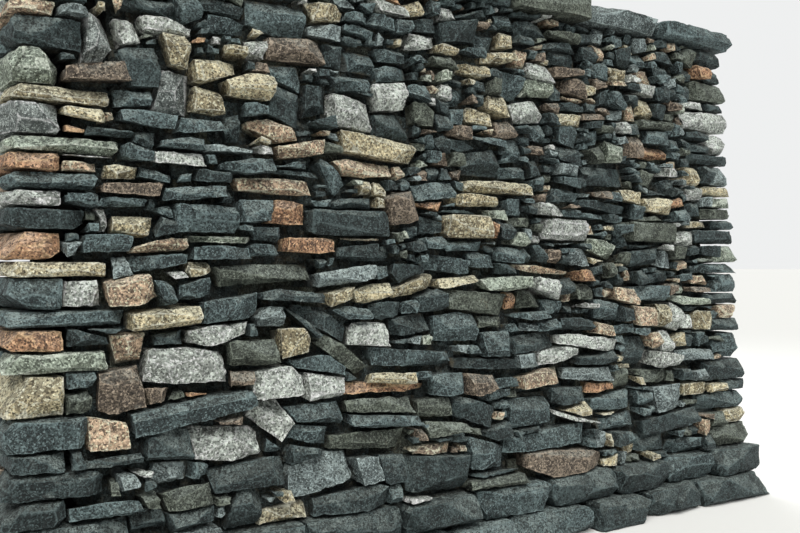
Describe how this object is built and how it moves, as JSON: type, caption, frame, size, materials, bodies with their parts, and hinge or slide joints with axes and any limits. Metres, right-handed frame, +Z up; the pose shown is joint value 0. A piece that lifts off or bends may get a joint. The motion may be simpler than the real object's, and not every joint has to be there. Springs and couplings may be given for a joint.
{
  "type": "dry stone wall",
  "caption": "Free-standing dry stone wall with battered rubble faces, hearting, through stones, bonded cheek ends, footing and flat cope.",
  "frame": {"origin": "middle of the base, at ground level", "axes": "+X along the wall towards its right end, +Y through the wall from the front face to the back, +Z up"},
  "size_m": [3.12, 0.91, 2],
  "materials": {
    "footing_stone": "rough dark dolerite, split faces",
    "hearting": "rough broken stone and earth",
    "face_stone": "rough rubble, dark dolerite with cream and pink granite",
    "end_stone": "rough squared rubble, dark dolerite with cream and pink granite",
    "through_stone": "rough long slabs",
    "cope_stone": "rough flat slabs, weathered paler on top"
  },
  "bodies": {
    "root": {"footing_front": "footing_stone", "footing_back": "footing_stone", "footing_left": "footing_stone", "footing_right": "footing_stone", "hearting_lower": "hearting", "hearting_upper": "hearting", "front_face_lower": "face_stone", "front_face_upper": "face_stone", "back_face_lower": "face_stone", "back_face_upper": "face_stone", "left_end_ties": "end_stone", "left_end_front_runners": "end_stone", "left_end_back_runners": "end_stone", "left_end_middle_stones": "end_stone", "right_end_ties": "end_stone", "right_end_front_runners": "end_stone", "right_end_back_runners": "end_stone", "right_end_middle_stones": "end_stone", "through_stone_1": "through_stone", "through_stone_2": "through_stone", "through_stone_3": "through_stone", "through_stone_4": "through_stone", "through_stone_5": "through_stone", "cope_slab_1": "cope_stone", "cope_slab_2": "cope_stone", "cope_slab_3": "cope_stone", "cope_slab_4": "cope_stone", "cope_slab_5": "cope_stone", "cope_slab_6": "cope_stone", "cope_slab_7": "cope_stone"}
  },
  "joints": []
}
